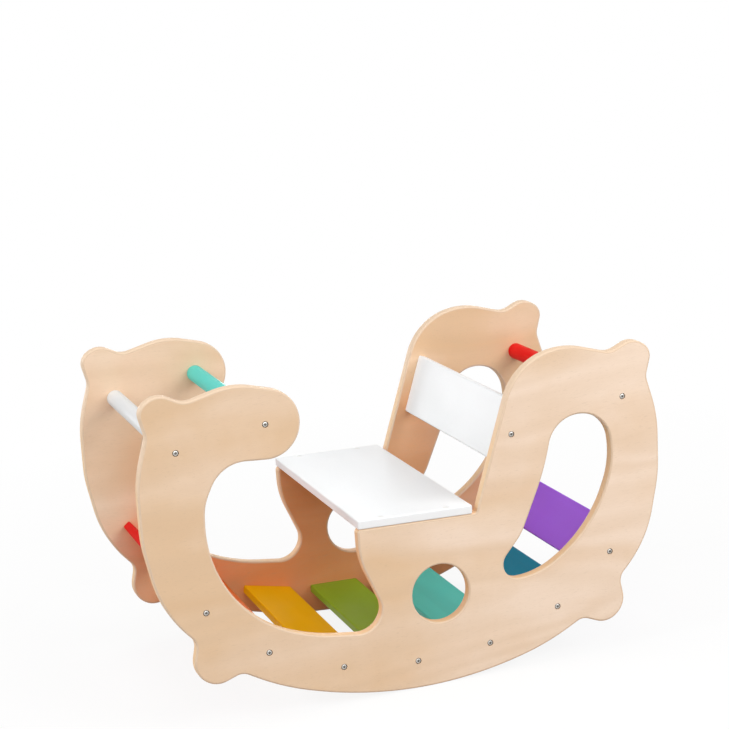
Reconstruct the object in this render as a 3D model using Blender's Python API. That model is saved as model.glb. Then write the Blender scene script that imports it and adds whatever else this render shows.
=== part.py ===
"""Children's rocking chair: two curved plywood sides joined by slats, rods, a seat and a backrest.

Units are metres. X runs along the chair from its front (-X) to its back (+X), Y across it and Z up.
Outlines are drawn in the plane of a side panel, in (x, z), before the chair leans to its rest tilt.
"""
import math

import bmesh
import bpy
from mathutils import Matrix, Vector

MM = 0.001

# Overall sizes
PANEL_LENGTH = 796 * MM
PANEL_HEIGHT = 487 * MM
INNER_WIDTH = 390 * MM
PANEL_THICKNESS = 18 * MM
BOARD_THICKNESS = 13 * MM
OVERALL_WIDTH = INNER_WIDTH + 2 * PANEL_THICKNESS
CONTACT_GAP = 0.3 * MM

# Rocker, and the lean that brings the centre of mass over its lowest point
ROCKER_RADIUS = 598 * MM
ROCKER_END_INSET = 239 * MM
REST_TILT = math.radians(2.04)

# Smoothness of the curves
ARC_TOLERANCE = 0.5 * MM
EDGE_STEPS = 2

# Side panel
PANEL_EDGE_RADIUS = 3 * MM
SHELF_HEIGHT = 252 * MM
SHELF_FRONT = -83 * MM
SHELF_BACK = 101 * MM
SHELF_CORNER_RADIUS = 5 * MM
BACK_SLOPE = math.radians(72.1)
BACK_POST_DROP = 21 * MM
BACK_POST_RADIUS = 98 * MM
ROUND_HOLE_CENTRE = (40 * MM, 139 * MM)
ROUND_HOLE_RADIUS = 44 * MM
ROUND_HOLE_SIDES = 32

# Slats: seven along the rocker, placed from the middle one (first value) to the end ones (last)
SLAT_WIDTH = 80 * MM
END_SLAT_INSET = 85.5 * MM
SLAT_SHARES = (0, 0.365, 0.718, 1)
SLAT_RISES = (41.5 * MM, 40 * MM, 51 * MM, 99.6 * MM)
SLAT_SLOPES = tuple(math.radians(degrees) for degrees in (0, 10, 28, 50))
SLAT_COLOURS = ("red", "orange", "yellow", "green", "teal", "blue", "purple")

# Rods and backrest
ROD_RADIUS = 13 * MM
ROD_SIDES = 32
END_ROD_INSET = 58 * MM
END_ROD_DROP = 88 * MM
ARM_ROD_X = -209.5 * MM
ARM_ROD_DROP = 63 * MM
BACKREST_HEIGHT = 95 * MM
BACKREST_SETBACK = 23.5 * MM
BACKREST_DROP = 123.5 * MM
BOARD_EDGE_RADIUS = 2.5 * MM

# Seat board
SEAT_FRONT_SETBACK = 1 * MM
SEAT_BACK_GAP = 6 * MM
SEAT_FRONT = SHELF_FRONT + SEAT_FRONT_SETBACK
SEAT_BACK = SHELF_BACK - SEAT_BACK_GAP
SEAT_CORNER_RADIUS = 3 * MM
SEAT_EDGE_RADIUS = 2 * MM
SEAT_SCREW_SPACING = 100 * MM

# Screws and their caps
HEAD_RADIUS = 4.3 * MM
HEAD_HEIGHT = 2.2 * MM
HEAD_SIDES = 12
COUNTERBORE_SIDES = 12
SOCKET_ACROSS_FLATS = 3.5 * MM
SOCKET_DEPTH = 1.4 * MM
SHANK_RADIUS = 2.5 * MM
SHANK_LENGTH = 52 * MM
SEAT_SHANK_LENGTH = 44 * MM
TIP_LENGTH = 4 * MM
HEAD_CLEARANCE = 0.4 * MM
HEAD_SINK = 0.3 * MM
TIP_CLEARANCE = 2 * MM
BORE_SIDES = 12
CAP_THICKNESS = 1.8 * MM
CAP_DOME = 0.4 * MM

BORE_RADIUS = SHANK_RADIUS + CONTACT_GAP
COUNTERBORE_RADIUS = HEAD_RADIUS + HEAD_CLEARANCE
COUNTERBORE_DEPTH = HEAD_SINK + HEAD_HEIGHT + CONTACT_GAP
BAR_LENGTH = INNER_WIDTH - 2 * CONTACT_GAP
BAR_BORE_DEPTH = SHANK_LENGTH - (PANEL_THICKNESS - COUNTERBORE_DEPTH) + TIP_CLEARANCE
SEAT_HEAD_DEPTH = CAP_THICKNESS + CAP_DOME + CONTACT_GAP
SEAT_COUNTERBORE_DEPTH = SEAT_HEAD_DEPTH + HEAD_HEIGHT + CONTACT_GAP
SEAT_BOTTOM = SHELF_HEIGHT + CONTACT_GAP
SEAT_TOP = SEAT_BOTTOM + BOARD_THICKNESS
SEAT_SCREW_Y = (OVERALL_WIDTH - PANEL_THICKNESS) / 2
SEAT_SCREW_X = [(SEAT_FRONT + SEAT_BACK) / 2 + k * SEAT_SCREW_SPACING / 2 for k in (-1, 1)]
SHELF_BORE_DEPTH = SEAT_SHANK_LENGTH - (BOARD_THICKNESS - SEAT_COUNTERBORE_DEPTH) + TIP_CLEARANCE

# Corners of the side panel: x datum and offset, z datum and offset, fillet radius, in millimetres.
# They run counter-clockwise, and x_datum and z_datum below say what each datum is.
END_CORNERS = [
    ("back end", -191, "rocker", 0, 370),
    ("back end", -133, "rocker", 16, 20), ("back end", -92, "rocker", -11, 32),
    ("back end", -61, "rocker", 6, 34), ("back end", -70, "rocker", 53, 22),
    ("back end", -23, "floor", 171, 178), ("back end", -1, "top", -213, 200),
    ("back end", 0, "top", -123, 200),
    ("back end", -18, "top", -62, 24), ("back end", -7, "top", -21, 22),
    ("back end", -38, "top", -1, 30), ("back end", -75, "top", -20, 30),
    ("back end", -146, "top", 0, 112),
]
NECK_CORNERS = [
    ("shelf front", 0, "shelf", 0, 6), ("shelf front", 1, "shelf", -46, 125),
    ("middle", -48, "floor", 128, 31), ("middle", -68, "floor", 94, 34),
]
CAVITY_CORNERS = [
    ("middle", -147, "rocker", 84, 245), ("front end", 165, "rocker", 88, 180),
    ("front end", 92, "floor", 228, 185), ("front end", 94, "top", -168, 80),
    ("front end", 122, "top", -111, 54),
]
ARM_CORNERS = [("middle", -166, "top", -116, 50), ("middle", -152, "top", -25, 50)]
BACK_HOLE_CORNERS = [
    ("back end", -85, "top", -110, 48), ("back end", -75, "top", -183, 135),
    ("back end", -116, "floor", 195, 205), ("middle", 193, "floor", 145, 114),
    ("middle", 111, "floor", 141, 23), ("middle", 171, "floor", 210, 88),
    ("middle", 212, "top", -182, 380), ("middle", 230, "top", -103, 50),
]

# Colour (linear RGB), roughness and metallic of each finish
FINISHES = {
    "plywood": ((0.79, 0.58, 0.40), 0.50, 0.0),
    "red_paint": ((0.75, 0.02, 0.015), 0.35, 0.0),
    "orange_paint": ((0.80, 0.14, 0.02), 0.35, 0.0),
    "yellow_paint": ((0.85, 0.43, 0.0), 0.35, 0.0),
    "green_paint": ((0.30, 0.58, 0.07), 0.35, 0.0),
    "teal_paint": ((0.09, 0.55, 0.50), 0.35, 0.0),
    "blue_paint": ((0.01, 0.22, 0.40), 0.35, 0.0),
    "purple_paint": ((0.30, 0.10, 0.70), 0.35, 0.0),
    "white_paint": ((0.88, 0.88, 0.88), 0.35, 0.0),
    "screw_steel": ((0.60, 0.60, 0.60), 0.30, 1.0),
    "white_plastic": ((0.85, 0.85, 0.85), 0.45, 0.0),
}


def make_material(name):
    """Return the finish of this name, made on its first use."""
    if name in bpy.data.materials:
        return bpy.data.materials[name]
    colour, roughness, metallic = FINISHES[name]
    material = bpy.data.materials.new(name)
    material.use_nodes = True
    shader = material.node_tree.nodes["Principled BSDF"]
    shader.inputs["Base Color"].default_value = (*colour, 1.0)
    shader.inputs["Roughness"].default_value = roughness
    shader.inputs["Metallic"].default_value = metallic
    return material


def arc(centre, radius, start, sweep):
    """Points of an arc, spaced so that each chord stays within the tolerance."""
    step = 2 * math.acos(1 - min(ARC_TOLERANCE / radius, 0.5))
    count = max(2, math.ceil(abs(sweep) / step))
    angles = [start + sweep * k / count for k in range(count + 1)]
    return [centre + radius * Vector((math.cos(a), math.sin(a))) for a in angles]


def fillet_tangents(corners):
    """Length that each corner's fillet takes from its two sides, kept within what the sides have."""
    count = len(corners)
    spots = [Vector(corner[:2]) for corner in corners]
    sides = [spots[(i + 1) % count] - spots[i] for i in range(count)]
    turns = [sides[i].angle(sides[i - 1]) for i in range(count)]
    wanted = [corners[i][2] * math.tan(turns[i] / 2) for i in range(count)]
    room = [sides[i].length / (wanted[i] + wanted[(i + 1) % count]) for i in range(count)]
    return [wanted[i] * min(1.0, room[i], room[i - 1]) for i in range(count)]


def rounded_outline(corners):
    """Closed outline through corners (x, z, radius), each replaced by its tangent arc."""
    points = []
    for i, tangent_length in enumerate(fillet_tangents(corners)):
        here = Vector(corners[i][:2])
        before = (Vector(corners[i - 1][:2]) - here).normalized()
        after = (Vector(corners[(i + 1) % len(corners)][:2]) - here).normalized()
        half_angle = before.angle(after) / 2
        radius = tangent_length * math.tan(half_angle)
        centre = here + (before + after).normalized() * radius / math.sin(half_angle)
        first = here + before * tangent_length - centre
        last = here + after * tangent_length - centre
        sweep = math.atan2(first.cross(last), first.dot(last))
        points += arc(centre, radius, math.atan2(first.y, first.x), sweep)
    return points


def mirrored(corners):
    """The same corners on the other side of x = 0, in the opposite order."""
    return [(-x, z, radius) for x, z, radius in reversed(corners)]


def rocker_angle():
    """Slope of the rocker where its arc ends and runs on straight to the lower ear."""
    return math.asin((PANEL_LENGTH / 2 - ROCKER_END_INSET) / ROCKER_RADIUS)


def rocker_height(x):
    """Height of the rocker's arc at this x, and past the arc of its straight run."""
    angle = rocker_angle()
    reach = ROCKER_RADIUS * math.sin(angle)
    if abs(x) <= reach:
        return ROCKER_RADIUS - math.sqrt(ROCKER_RADIUS ** 2 - x ** 2)
    return ROCKER_RADIUS * (1 - math.cos(angle)) + (abs(x) - reach) * math.tan(angle)


def x_datum(name):
    """Position that x offsets are measured from."""
    return {
        "front end": -PANEL_LENGTH / 2, "back end": PANEL_LENGTH / 2,
        "middle": 0.0, "shelf front": SHELF_FRONT,
    }[name]


def z_datum(name, x):
    """Height that z offsets are measured from at this x."""
    if name == "rocker":
        return rocker_height(x)
    return {"floor": 0.0, "shelf": SHELF_HEIGHT, "top": PANEL_HEIGHT}[name]


def placed(corners):
    """Corners given from their datums, as (x, z, radius)."""
    result = []
    for x_name, x_offset, z_name, z_offset, radius in corners:
        x = x_datum(x_name) + x_offset * MM
        result.append((x, z_datum(z_name, x) + z_offset * MM, radius * MM))
    return result


def back_edge_x(z):
    """Front edge of the backrest post at this height."""
    return SHELF_BACK + (z - SHELF_HEIGHT) / math.tan(BACK_SLOPE)


def circle(centre, radius, sides):
    angles = [2 * math.pi * k / sides for k in range(sides)]
    return [Vector(centre) + radius * Vector((math.cos(a), math.sin(a))) for a in angles]


def rectangle(width, height, radius, centre=(0.0, 0.0)):
    """Rounded rectangle outline, counter-clockwise."""
    signs = [(1, 1), (-1, 1), (-1, -1), (1, -1)]
    x, z = centre
    return rounded_outline([(x + a * width / 2, z + b * height / 2, radius) for a, b in signs])


def offset_outline(outline, distance):
    """Move every point to its left by the distance."""
    moved = []
    for i, point in enumerate(outline):
        along = outline[(i + 1) % len(outline)] - outline[i - 1]
        moved.append(point + Vector((-along.y, along.x)).normalized() * distance)
    return moved


def edge_profile(thickness, radius):
    """Pairs (inset, depth) across an edge that is rounded on both faces."""
    if radius == 0:
        return [(0.0, 0.0), (0.0, thickness)]
    angles = [math.pi / 2 * k / EDGE_STEPS for k in range(EDGE_STEPS + 1)]
    near = [(radius * (1 - math.sin(a)), radius * (1 - math.cos(a))) for a in angles]
    return near + [(inset, thickness - depth) for inset, depth in reversed(near)]


class PlateBuilder:
    """A flat piece built from closed outlines; place(point, depth) sets each vertex in space."""

    def __init__(self, place):
        self.mesh = bmesh.new()
        self.place = place
        self.caps = {"front": [], "back": []}

    def ring(self, outline, depth):
        return [self.mesh.verts.new(self.place(point, depth)) for point in outline]

    def wall(self, rings):
        for lower, upper in zip(rings, rings[1:]):
            for i in range(len(lower)):
                self.mesh.faces.new((lower[i - 1], lower[i], upper[i], upper[i - 1]))

    def close(self, side, ring):
        """Keep the edges of this ring for the cap on the named side."""
        for i in range(len(ring)):
            edge = self.mesh.edges.get((ring[i - 1], ring[i]))
            self.caps[side].append(edge)

    def add_edge(self, outline, thickness, radius, material_side=1):
        """Outer edge (material_side 1) or an opening's edge (-1), both rounded."""
        profile = edge_profile(thickness, radius)
        rings = [self.ring(offset_outline(outline, material_side * a), d) for a, d in profile]
        self.wall(rings)
        self.close("front", rings[0])
        self.close("back", rings[-1])

    def add_stepped_hole(self, centre, steps, sides):
        """Through hole whose steps are pairs (radius, depth) from the front face to the back."""
        rings = [self.ring(circle(centre, radius, sides), depth) for radius, depth in steps]
        self.wall(rings)
        self.close("front", rings[0])
        self.close("back", rings[-1])

    def add_blind_hole(self, side, centre, radius, mouth, bottom):
        rings = [self.ring(circle(centre, radius, BORE_SIDES), depth) for depth in (mouth, bottom)]
        self.wall(rings)
        self.mesh.faces.new(rings[1])
        self.close(side, rings[0])

    def finish(self, name):
        for edges in self.caps.values():
            bmesh.ops.triangle_fill(self.mesh, edges=edges, use_beauty=True)
        bmesh.ops.recalc_face_normals(self.mesh, faces=self.mesh.faces[:])
        data = bpy.data.meshes.new(name)
        self.mesh.to_mesh(data)
        self.mesh.free()
        return data


def add_object(name, data, finish, rest_pose):
    """Link a new object that leans with the chair."""
    data.name = name
    data.materials.clear()
    data.materials.append(make_material(finish))
    piece = bpy.data.objects.new(name, data)
    bpy.context.scene.collection.objects.link(piece)
    piece.parent = rest_pose
    return piece


def panel_outline():
    """Outline of a side panel: rocker, four ears, backrest post, seat shelf, neck, cavity and arm."""
    rocker = (0.0, ROCKER_RADIUS * (1 - 1 / math.cos(rocker_angle())), ROCKER_RADIUS)
    end = placed(END_CORNERS)
    post_top = PANEL_HEIGHT - BACK_POST_DROP
    post = [(back_edge_x(post_top), post_top, BACK_POST_RADIUS), (SHELF_BACK, SHELF_HEIGHT, SHELF_CORNER_RADIUS)]
    front = placed(NECK_CORNERS + CAVITY_CORNERS + ARM_CORNERS)
    return rounded_outline([rocker] + end + post + front + mirrored(end))


def slat_places():
    """Each slat's screw position (x, z) and slope, from the front one to the back one."""
    places = {}
    for i, colour in enumerate(SLAT_COLOURS):
        step = i - len(SLAT_COLOURS) // 2
        side = 1 if step > 0 else -1
        x = side * SLAT_SHARES[abs(step)] * (PANEL_LENGTH / 2 - END_SLAT_INSET)
        z = rocker_height(x) + SLAT_RISES[abs(step)]
        places[f"{colour}_slat"] = (x, z, side * SLAT_SLOPES[abs(step)])
    return places


def rod_places():
    """Each rod's screw position (x, z) and slope."""
    end_x = PANEL_LENGTH / 2 - END_ROD_INSET
    end_z = PANEL_HEIGHT - END_ROD_DROP
    return {
        "teal_rod": (ARM_ROD_X, PANEL_HEIGHT - ARM_ROD_DROP, 0.0),
        "white_rod": (-end_x, end_z, 0.0), "red_rod": (end_x, end_z, 0.0),
    }


def backrest_place():
    """The backrest's screw position (x, z) and slope, just behind the front edge of its post."""
    z = PANEL_HEIGHT - BACKREST_DROP
    return {"backrest_board": (back_edge_x(z) + BACKREST_SETBACK, z, BACK_SLOPE)}


def screw_places():
    """Every side screw's (x, z) position, by the name of the piece that it holds."""
    members = {**slat_places(), **rod_places(), **backrest_place()}
    return {name: (x, z) for name, (x, z, _) in members.items()}


def add_side_panel(name, side, rest_pose):
    """Side panel with its openings, screw holes and the two bores under the seat."""
    def place(point, depth):
        return Vector((point.x, side * (OVERALL_WIDTH / 2 - depth), point.y))

    plate = PlateBuilder(place)
    plate.add_edge(panel_outline(), PANEL_THICKNESS, PANEL_EDGE_RADIUS)
    back_hole = rounded_outline(placed(BACK_HOLE_CORNERS))
    plate.add_edge(back_hole, PANEL_THICKNESS, PANEL_EDGE_RADIUS, -1)
    round_hole = circle(ROUND_HOLE_CENTRE, ROUND_HOLE_RADIUS, ROUND_HOLE_SIDES)
    plate.add_edge(round_hole, PANEL_THICKNESS, PANEL_EDGE_RADIUS, -1)
    steps = [
        (COUNTERBORE_RADIUS, 0.0), (COUNTERBORE_RADIUS, COUNTERBORE_DEPTH),
        (BORE_RADIUS, COUNTERBORE_DEPTH), (BORE_RADIUS, PANEL_THICKNESS),
    ]
    for centre in screw_places().values():
        plate.add_stepped_hole(centre, steps, COUNTERBORE_SIDES)
    panel = add_object(name, plate.finish(name), "plywood", rest_pose)
    for i, x in enumerate(SEAT_SCREW_X):
        add_bore_cutter(panel, f"{name}_seat_bore_{i}", (x, side * SEAT_SCREW_Y, SHELF_HEIGHT), rest_pose)


def add_bore_cutter(target, name, mouth, rest_pose):
    """Cut a blind vertical bore down from the shelf."""
    depth = SHELF_BORE_DEPTH + PANEL_EDGE_RADIUS
    cutter_mesh = bmesh.new()
    bmesh.ops.create_cone(
        cutter_mesh, cap_ends=True, segments=BORE_SIDES, radius1=BORE_RADIUS, radius2=BORE_RADIUS,
        depth=depth, matrix=Matrix.Translation((0, 0, PANEL_EDGE_RADIUS - depth / 2)))
    data = bpy.data.meshes.new(name)
    cutter_mesh.to_mesh(data)
    cutter_mesh.free()
    cutter = bpy.data.objects.new(name, data)
    bpy.context.scene.collection.objects.link(cutter)
    cutter.parent = rest_pose
    cutter.location = mouth
    cutter.hide_render = True
    cutter.display_type = "WIRE"
    bore = target.modifiers.new(name, "BOOLEAN")
    bore.operation = "DIFFERENCE"
    bore.solver = "EXACT"
    bore.object = cutter


def bar_mesh(name, section):
    """Bar of the given cross-section between the panels, bored at both ends for its screws."""
    half = BAR_LENGTH / 2

    def place(point, depth):
        return Vector((point.x, depth - half, point.y))

    bar = PlateBuilder(place)
    bar.add_edge(section, BAR_LENGTH, 0)
    bar.add_blind_hole("front", (0, 0), BORE_RADIUS, 0.0, BAR_BORE_DEPTH)
    bar.add_blind_hole("back", (0, 0), BORE_RADIUS, BAR_LENGTH, BAR_LENGTH - BAR_BORE_DEPTH)
    return bar.finish(name)


def add_bars(places, section, finish, rest_pose):
    """Cross members centred on their screws and turned to their slope about Y."""
    for name, (x, z, slope) in places.items():
        own_finish = finish or f"{name.split('_')[0]}_paint"
        bar = add_object(name, bar_mesh(name, section), own_finish, rest_pose)
        bar.location = (x, 0, z)
        bar.rotation_euler.y = -slope


def add_seat(rest_pose):
    """Seat board on the shelves of both panels, flush with their outer faces."""
    def place(point, depth):
        return Vector((point.x, point.y, SEAT_TOP - depth))

    centre = ((SEAT_FRONT + SEAT_BACK) / 2, 0)
    outline = rectangle(SEAT_BACK - SEAT_FRONT, OVERALL_WIDTH, SEAT_CORNER_RADIUS, centre)
    seat = PlateBuilder(place)
    seat.add_edge(outline, BOARD_THICKNESS, SEAT_EDGE_RADIUS)
    steps = [
        (COUNTERBORE_RADIUS, 0.0), (COUNTERBORE_RADIUS, SEAT_COUNTERBORE_DEPTH),
        (BORE_RADIUS, SEAT_COUNTERBORE_DEPTH), (BORE_RADIUS, BOARD_THICKNESS),
    ]
    for x in SEAT_SCREW_X:
        for side in (-1, 1):
            seat.add_stepped_hole((x, side * SEAT_SCREW_Y), steps, COUNTERBORE_SIDES)
    add_object("seat_board", seat.finish("seat_board"), "white_paint", rest_pose)


def lathe(name, profile):
    """Revolve rings about Z; each is (radius or radius function, z). Both ends close in a point."""
    piece = bmesh.new()
    rings = []
    for radius, z in profile:
        ring = []
        for k in range(HEAD_SIDES):
            angle = 2 * math.pi * k / HEAD_SIDES
            r = radius(angle) if callable(radius) else radius
            ring.append(piece.verts.new((r * math.cos(angle), r * math.sin(angle), z)))
        rings.append(ring)
    for upper, lower in zip(rings, rings[1:]):
        for k in range(HEAD_SIDES):
            piece.faces.new((upper[k - 1], upper[k], lower[k], lower[k - 1]))
    piece.faces.new(rings[0])
    piece.faces.new(rings[-1])
    bmesh.ops.recalc_face_normals(piece, faces=piece.faces[:])
    data = bpy.data.meshes.new(name)
    piece.to_mesh(data)
    piece.free()
    return data


def hexagon(angle):
    """Radius of the hexagonal socket in a direction."""
    sector = math.pi / 3
    return SOCKET_ACROSS_FLATS / 2 / math.cos(angle % sector - sector / 2)


def screw_mesh(name, shank_length):
    """Domed head with a hexagonal socket, straight shank and pointed tip; head top at z = 0."""
    end = -HEAD_HEIGHT - shank_length
    profile = [
        (hexagon, -SOCKET_DEPTH), (hexagon, 0.0), (HEAD_RADIUS * 0.85, -HEAD_HEIGHT * 0.25),
        (HEAD_RADIUS, -HEAD_HEIGHT), (SHANK_RADIUS, -HEAD_HEIGHT),
        (SHANK_RADIUS, end + TIP_LENGTH), (SHANK_RADIUS * 0.1, end),
    ]
    return lathe(name, profile)


def add_side_screws(rest_pose):
    """One screw through each panel into every cross member."""
    shared = screw_mesh("side_screw", SHANK_LENGTH)
    shared.materials.append(make_material("screw_steel"))
    for piece_name, (x, z) in screw_places().items():
        for side, label in ((-1, "left"), (1, "right")):
            screw = add_object(f"{piece_name}_screw_{label}", shared, "screw_steel", rest_pose)
            screw.location = (x, side * (OVERALL_WIDTH / 2 - HEAD_SINK), z)
            screw.rotation_euler.x = -side * math.pi / 2


def add_seat_fixings(rest_pose):
    """Four screws down through the seat, each under a push-in cap."""
    screw = screw_mesh("seat_screw", SEAT_SHANK_LENGTH)
    cap = lathe("seat_cap", [
        (HEAD_RADIUS * 0.6, 0.0), (HEAD_RADIUS, -CAP_DOME), (HEAD_RADIUS, -CAP_DOME - CAP_THICKNESS)])
    for x, end in zip(SEAT_SCREW_X, ("front", "back")):
        for side, label in ((-1, "left"), (1, "right")):
            place = Vector((x, side * SEAT_SCREW_Y, SEAT_TOP))
            fixing = add_object(f"seat_screw_{end}_{label}", screw, "screw_steel", rest_pose)
            fixing.location = place - Vector((0, 0, SEAT_HEAD_DEPTH))
            cover = add_object(f"seat_cap_{end}_{label}", cap, "white_plastic", rest_pose)
            cover.location = place


def add_rest_pose():
    """Empty that leans the chair about its rocker's centre and stands it centred over the origin."""
    turn = Matrix.Rotation(REST_TILT, 4, "Y")
    pivot = Matrix.Translation((0, 0, ROCKER_RADIUS))
    lean = pivot @ turn @ pivot.inverted()
    leaned = [lean @ Vector((p.x, 0, p.y)) for p in panel_outline()]
    across = [p.x for p in leaned]
    lowest = min(p.z for p in leaned)
    centring = Matrix.Translation((-(min(across) + max(across)) / 2, 0, -lowest))
    rest_pose = bpy.data.objects.new("rest_pose", None)
    bpy.context.scene.collection.objects.link(rest_pose)
    rest_pose.matrix_world = centring @ lean
    return rest_pose


def clear_scene():
    for item in list(bpy.data.objects):
        bpy.data.objects.remove(item, do_unlink=True)


def main():
    clear_scene()
    rest_pose = add_rest_pose()
    add_side_panel("side_panel_left", -1, rest_pose)
    add_side_panel("side_panel_right", 1, rest_pose)
    slat_section = rectangle(SLAT_WIDTH, BOARD_THICKNESS, BOARD_EDGE_RADIUS)
    add_bars(slat_places(), slat_section, None, rest_pose)
    rod_section = circle((0, 0), ROD_RADIUS, ROD_SIDES)
    add_bars(rod_places(), rod_section, None, rest_pose)
    backrest_section = rectangle(BACKREST_HEIGHT, BOARD_THICKNESS, BOARD_EDGE_RADIUS)
    add_bars(backrest_place(), backrest_section, "white_paint", rest_pose)
    add_seat(rest_pose)
    add_side_screws(rest_pose)
    add_seat_fixings(rest_pose)


main()
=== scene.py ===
"""Render scene of a children's rocking chair: plywood sides, painted members, seat and screws."""
import logging
import math
from collections.abc import Callable, Iterator
from contextlib import contextmanager
from dataclasses import dataclass
from enum import Enum

import bmesh
import bpy
from mathutils import Matrix, Vector


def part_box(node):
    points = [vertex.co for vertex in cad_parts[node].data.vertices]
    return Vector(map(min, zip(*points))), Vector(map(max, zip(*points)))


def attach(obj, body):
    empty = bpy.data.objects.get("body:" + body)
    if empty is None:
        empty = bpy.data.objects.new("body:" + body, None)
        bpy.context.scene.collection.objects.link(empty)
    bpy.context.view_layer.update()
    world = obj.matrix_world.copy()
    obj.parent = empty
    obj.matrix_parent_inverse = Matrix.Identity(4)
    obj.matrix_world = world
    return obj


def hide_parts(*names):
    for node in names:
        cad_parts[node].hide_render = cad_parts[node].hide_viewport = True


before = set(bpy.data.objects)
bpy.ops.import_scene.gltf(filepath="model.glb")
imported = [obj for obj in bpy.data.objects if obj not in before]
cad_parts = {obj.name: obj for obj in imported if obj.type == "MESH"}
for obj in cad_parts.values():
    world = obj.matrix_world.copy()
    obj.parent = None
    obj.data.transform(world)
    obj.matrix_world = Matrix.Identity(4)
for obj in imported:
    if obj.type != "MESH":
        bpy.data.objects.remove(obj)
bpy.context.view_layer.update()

MM = 0.001
OUTER_FACE = 213 * MM
PANEL_THICKNESS = 18 * MM
BOARD_THICKNESS = 13 * MM
SHELF_HEIGHT = 252 * MM
GAP = 0.3 * MM
TINY = 1e-6

# A spot is X, Y and Z, a corner X, Z and fillet radius, and a place X, Z and slope.
Spot = Corner = Place = Rgb = tuple[float, float, float]
Laid = tuple["Signal", "Signal", "Signal"]
Piece = bpy.types.Object
Socket = bpy.types.NodeSocket
Tree = bpy.types.NodeTree
log = logging.getLogger("rocking_chair")


class Element(Enum):
    """What is selected while a mesh is being edited."""

    VERT = "VERT"
    EDGE = "EDGE"
    FACE = "FACE"


class Axis(Enum):
    """Axis that a round piece or a hole runs along, by the turn that lays it there."""

    Y = (math.pi / 2, 0.0, 0.0)
    Z = (0.0, 0.0, 0.0)


class Side(Enum):
    """The two sides of the chair, by the sign of Y."""

    LEFT = -1
    RIGHT = 1

    @property
    def label(self) -> str:
        """Word that node names end in."""
        return self.name.lower()


# Workbench: small steps that every piece is modelled with


def deselect_all() -> None:
    """Deselect every object."""
    bpy.ops.object.select_all(action="DESELECT")


def take(*pieces: Piece) -> None:
    """Select only these pieces and make the first one active.

    Args:
        pieces: Objects to select.
    """
    deselect_all()
    for piece in pieces:
        piece.select_set(True)
    bpy.context.view_layer.objects.active = pieces[0]


def apply_place(piece: Piece) -> None:
    """Apply a piece's place, turn and scale to its mesh."""
    take(piece)
    bpy.ops.object.transform_apply(location=True, rotation=True, scale=True)


def settle(piece: Piece, move: Matrix) -> None:
    """Move a piece and apply the move to its mesh, so that its object stays at the origin."""
    piece.matrix_world = move @ piece.matrix_world
    apply_place(piece)


@contextmanager
def editing(piece: Piece, element: Element, wanted: Callable = lambda item: False) -> Iterator[None]:
    """Keep a piece in edit mode, with only those elements selected that pass a test.

    Args:
        piece: Mesh object to edit.
        element: Kind of element to select.
        wanted: Test of one BMVert, BMEdge or BMFace. Without it nothing is selected.
    """
    take(piece)
    bpy.ops.object.mode_set(mode="EDIT")
    bpy.ops.mesh.select_mode(type=element.value)
    bpy.ops.mesh.select_all(action="DESELECT")
    mesh = bmesh.from_edit_mesh(piece.data)
    items = {Element.VERT: mesh.verts, Element.EDGE: mesh.edges, Element.FACE: mesh.faces}[element]
    for item in [item for item in items if wanted(item)]:
        item.select_set(True)
    mesh.select_flush_mode()
    bmesh.update_edit_mesh(piece.data)
    yield
    bpy.ops.object.mode_set(mode="OBJECT")


def span(edge: bmesh.types.BMEdge) -> Vector:
    """How far an edge runs along each axis."""
    return edge.verts[1].co - edge.verts[0].co


def round_off(piece: Piece, radius: float, segments: int, wanted: Callable) -> None:
    """Round some edges of a piece.

    Args:
        piece: Mesh object to round.
        radius: Radius of the rounding.
        segments: Number of faces across it.
        wanted: Test of one BMEdge.
    """
    with editing(piece, Element.EDGE, wanted):
        bpy.ops.mesh.bevel(offset=radius, segments=segments, profile=0.5)


def face_outwards() -> None:
    """Turn every face outwards, in edit mode."""
    bpy.ops.mesh.select_all(action="SELECT")
    bpy.ops.mesh.normals_make_consistent(inside=False)


def block_stock(size: Spot, place: Spot = (0.0, 0.0, 0.0)) -> Piece:
    """Add a square block.

    Args:
        size: Size along X, Y and Z.
        place: Middle of the block.

    Returns:
        The block, with its place in its mesh.
    """
    deselect_all()
    bpy.ops.mesh.primitive_cube_add(size=1.0, location=place)
    piece = bpy.context.object
    piece.scale = size
    apply_place(piece)
    return piece


@dataclass(frozen=True)
class RoundBar:
    """Round bar, or the bit that bores a round hole."""

    radius: float
    length: float
    along: Axis
    sides: int

    def stock(self, place: Vector) -> Piece:
        """Add the bar.

        Args:
            place: Middle of the bar.

        Returns:
            The bar, with its place in its mesh.
        """
        deselect_all()
        bpy.ops.mesh.primitive_cylinder_add(
            vertices=self.sides, radius=self.radius, depth=self.length, location=place,
            rotation=self.along.value)
        piece = bpy.context.object
        apply_place(piece)
        return piece

    def bore(self, piece: Piece, places: list[Vector]) -> None:
        """Bore straight holes in a piece, all with one cutter.

        Args:
            piece: Object to bore.
            places: Middle point of every hole.
        """
        bits = [self.stock(place) for place in places]
        take(*bits)
        if len(bits) > 1:
            bpy.ops.object.join()
        take(piece)
        step = piece.modifiers.new("bore", "BOOLEAN")
        step.operation = "DIFFERENCE"
        step.solver = "EXACT"
        step.object = bits[0]
        bpy.ops.object.modifier_apply(modifier=step.name)
        put_away(bits[0])


def smooth(piece: Piece, angle: float = 32.0) -> None:
    """Shade a piece smooth up to an angle, with flat faces kept flat.

    Args:
        piece: Object to shade.
        angle: Largest smooth edge angle in degrees.
    """
    take(piece)
    bpy.ops.object.shade_smooth_by_angle(angle=math.radians(angle))
    step = piece.modifiers.new("flat faces", "WEIGHTED_NORMAL")
    step.keep_sharp = True
    step.weight = 100
    bpy.ops.object.modifier_apply(modifier=step.name)


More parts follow.
